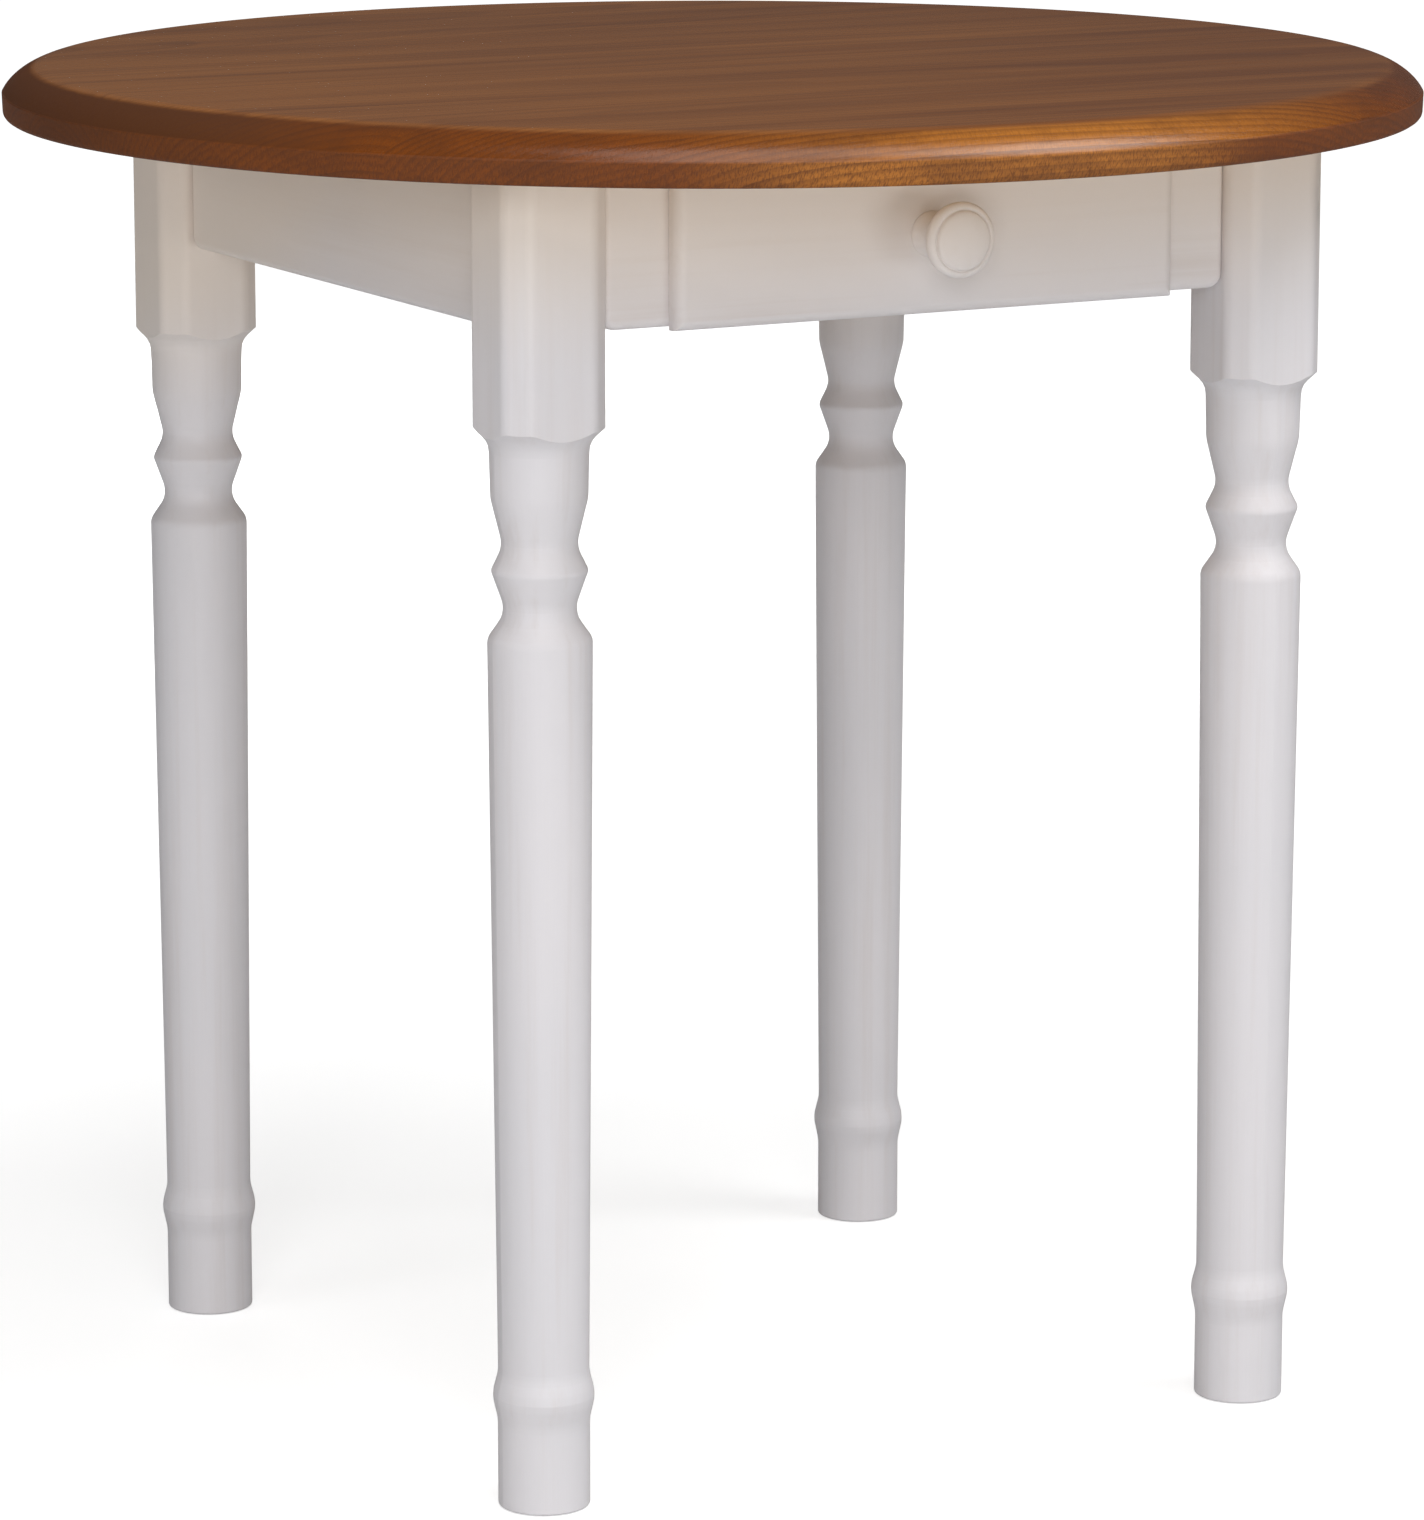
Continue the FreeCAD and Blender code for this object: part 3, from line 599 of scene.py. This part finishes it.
def weldPoints(shape):
    bmesh.ops.remove_doubles(shape, verts=shape.verts[:], dist=weldDistance)


def ringAt(shape, height):
    return [
        edge
        for edge in shape.edges
        if all(abs(vert.co.z - height) < weldDistance for vert in edge.verts)
    ]


def raiseRing(shape, rise, widen):
    upper = max(shape.faces, key=lambda face: face.calc_center_median().z)
    grown = bmesh.ops.extrude_face_region(shape, geom=[upper])
    raised = [item for item in grown["geom"] if isinstance(item, bmesh.types.BMVert)]
    bmesh.ops.scale(shape, vec=(widen, widen, 1), verts=raised)
    bmesh.ops.translate(shape, vec=(0, 0, rise), verts=raised)


def makeTop():
    lowRadius = topRadius - topBoards["rimLean"]
    reach = topBoards["upperRound"] * math.tan(upperAngle / 2)
    shape = bmesh.new()
    made = bmesh.ops.create_circle(
        shape, cap_ends=True, radius=lowRadius, segments=topBoards["segments"]
    )
    bmesh.ops.translate(shape, vec=(0, 0, topLow.z), verts=made["verts"])
    raiseRing(shape, creaseHeight - topLow.z, topRadius / lowRadius)
    raiseRing(shape, topHigh.z - creaseHeight, 1 - reach * math.cos(upperAngle) / topRadius)
    for height, offset, steps in (
        (topHigh.z, reach, topBoards["upperSteps"]),
        (topLow.z, topBoards["lowerRound"], topBoards["lowerSteps"]),
    ):
        bmesh.ops.bevel(
            shape,
            geom=ringAt(shape, height),
            offset=offset,
            segments=steps,
            profile=0.5,
            affect="EDGES",
            material=-1,
        )
    weldPoints(shape)
    bmesh.ops.recalc_face_normals(shape, faces=shape.faces[:])
    for edge in ringAt(shape, creaseHeight):
        edge.smooth = False  # the round ends in a crease
    for face in shape.faces:
        face.material_index = 1 if face.normal.z < topBoards["bareBelow"] else 0
    finishNames = ["stainedTop", "barePine_along"]
    finishPiece("boardTop", shape, "table", finishNames, ["table_top"])


makeTop()
print("top made")

# Knob: radius and distance from the drawer's face along the turned outline, four points to a curve
pullKnob = {
    "base": [(0.0, 0.0), (0.0122, 0.0)],
    "cove": [(0.0125, 0.0008), (0.0110, 0.0045), (0.0090, 0.0080), (0.0090, 0.0122)],
    "swell": [(0.0090, 0.0122), (0.0090, 0.0239), (0.0205, 0.0238), (0.0205, 0.0312)],
    "rim": [(0.0205, 0.0312), (0.0205, 0.0332), (0.0190, 0.0348), (0.0171, 0.0348)],
    "groove": [(0.0167, 0.0338), (0.0162, 0.0338)],
    "face": [(0.0160, 0.0352), (0.0157, 0.0372), (0.0080, 0.0380), (0.0, 0.0380)],
    "curveSteps": 10,
    "steps": 72,
}


def bent(points):
    return interpolate_bezier(*[Vector(point) for point in points], pullKnob["curveSteps"])


def makeKnob():
    low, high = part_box("drawer_knob")
    middle = Vector(((low.x + high.x) / 2, high.y, (low.z + high.z) / 2))
    outline = pullKnob["base"] + bent(pullKnob["cove"]) + bent(pullKnob["swell"])
    outline += bent(pullKnob["rim"]) + pullKnob["groove"] + bent(pullKnob["face"])
    shape = bmesh.new()
    verts = [shape.verts.new(middle + Vector((radius, -reach, 0))) for radius, reach in outline]
    for pair in zip(verts, verts[1:]):
        shape.edges.new(pair)
    weldPoints(shape)
    bmesh.ops.spin(
        shape,
        geom=shape.verts[:] + shape.edges[:],
        cent=middle,
        axis=(0, 1, 0),
        angle=math.tau,
        steps=pullKnob["steps"],
        use_merge=True,
    )
    weldPoints(shape)
    bmesh.ops.recalc_face_normals(shape, faces=shape.faces[:])
    finishPiece("turnedKnob", shape, "drawer", ["whitePaint_across"], ["drawer_knob"])


makeKnob()
print("knob made")

# Studio: pale floor, soft lights and the camera
floorPlan = {
    "size": 60.0,
    "drop": 0.0004,
    "colour": (0.62, 0.62, 0.62, 1),
    "rough": 0.9,
    "shine": 0.0,
    "glowColour": (1, 1, 1, 1),
    "reach": (0.8, 3.2),
    "glow": (0.68, 1.0),  # within the nearer reach, past the further one
    "mirrored": 0.08,
}


def floorMaterial():
    made = bpy.data.materials.new("paleFloor")
    made.use_nodes = True
    tree = made.node_tree
    shader = tree.nodes["Principled BSDF"]
    shader.inputs["Base Color"].default_value = floorPlan["colour"]
    shader.inputs["Roughness"].default_value = floorPlan["rough"]
    shader.inputs["Specular IOR Level"].default_value = floorPlan["shine"]
    shader.inputs["Emission Color"].default_value = floorPlan["glowColour"]
    rays = addNode(tree, "ShaderNodeLightPath").outputs
    mirrored = calc(tree, "MAXIMUM", rays["Is Glossy Ray"], rays["Is Transmission Ray"])
    seen = calc(tree, "MULTIPLY_ADD", mirrored, floorPlan["mirrored"], rays["Is Camera Ray"])
    # close to the table the floor keeps its shadow, further off it is plain white
    away = lengthOf(tree, addNode(tree, "ShaderNodeTexCoord").outputs["Object"])
    glow = rampTo(tree, away, *floorPlan["reach"], *floorPlan["glow"])
    feed(tree, shader.inputs["Emission Strength"], calc(tree, "MULTIPLY", seen, glow))
    return made


def makeFloor():
    shape = bmesh.new()
    bmesh.ops.create_grid(shape, x_segments=1, y_segments=1, size=floorPlan["size"] / 2)
    bmesh.ops.translate(shape, vec=(0, 0, -floorPlan["drop"]), verts=shape.verts[:])
    mesh = bpy.data.meshes.new("floor")
    shape.to_mesh(mesh)
    shape.free()
    mesh.materials.append(floorMaterial())
    floor = bpy.data.objects.new("floor", mesh)
    bpy.context.scene.collection.objects.link(floor)


makeFloor()

# Soft boxes: where they stand, their width and height, their power, and whether gloss shows them
aim = Vector((0, 0, 0.45))
softBoxes = {
    "keyLeft": {"place": (-1.9, -3.8, 4.6), "size": (2.6, 2.6), "power": 72},
    "keyRight": {"place": (1.75, -1.6, 3.65), "size": (1.9, 1.5), "power": 57},
    "highFront": {"place": (-0.25, -1.4, 4.6), "size": (2.8, 2.0), "power": 44},
    "fillBox": {"place": (-2.6, -4.8, 2.3), "size": (2.2, 1.6), "power": 51, "mirrored": False},
    "leftBox": {"place": (-3.4, -0.3, 1.2), "size": (1.6, 1.6), "power": 18, "mirrored": False},
    "lowLeft": {"place": (-1.6, -3.2, 0.4), "size": (1.4, 0.6), "power": 15},
    "lowRight": {"place": (0.9, -2.5, 0.35), "size": (1.2, 0.6), "power": 6},
    "backBox": {"place": (0.7, 4.2, 0.7), "size": (2.2, 1.3), "power": 50, "mirrored": False},
    "backRight": {"place": (3.6, 2.0, 0.7), "size": (1.6, 1.3), "power": 16, "mirrored": False},
}


def makeLights():
    for name, values in softBoxes.items():
        lamp = bpy.data.lights.new(name, "AREA")
        lamp.shape = "RECTANGLE"
        lamp.size, lamp.size_y = values["size"]
        lamp.energy = values["power"]
        stand = bpy.data.objects.new(name, lamp)
        stand.location = values["place"]
        stand.rotation_euler = (aim - stand.location).to_track_quat("-Z", "Y").to_euler()
        stand.visible_camera = False
        stand.visible_glossy = values.get("mirrored", True)
        bpy.context.scene.collection.objects.link(stand)


makeLights()

# Room: white where the camera looks past the floor, faint where it lights the table
room = {"colour": (1, 1, 1, 1), "strength": 0.08, "seen": 1.0}


def makeRoom():
    world = bpy.data.worlds.new("room")
    world.use_nodes = True
    tree = world.node_tree
    backdrop = tree.nodes["Background"]
    backdrop.inputs["Color"].default_value = room["colour"]
    seen = addNode(tree, "ShaderNodeLightPath").outputs["Is Camera Ray"]
    feed(tree, backdrop.inputs["Strength"], partWay(tree, seen, room["strength"], room["seen"]))
    bpy.context.scene.world = world


makeRoom()

view = {
    "azimuth": -28.12,
    "distance": 3.844,
    "height": 1.124,
    "heading": -28.115,
    "pitch": 11.37,
    "lens": 161.05,
    "sensor": 36.0,
}


def makeCamera():
    lens = bpy.data.cameras.new("photoCamera")
    lens.lens = view["lens"]
    lens.sensor_width = view["sensor"]
    camera = bpy.data.objects.new("photoCamera", lens)
    side = math.radians(view["azimuth"])
    camera.location = (
        view["distance"] * math.sin(side),
        -view["distance"] * math.cos(side),
        view["height"],
    )
    camera.rotation_euler = (math.radians(90 - view["pitch"]), 0, math.radians(view["heading"]))
    bpy.context.scene.collection.objects.link(camera)
    bpy.context.scene.camera = camera


makeCamera()
bpy.context.scene.view_settings.view_transform = "Standard"
print("studio made")
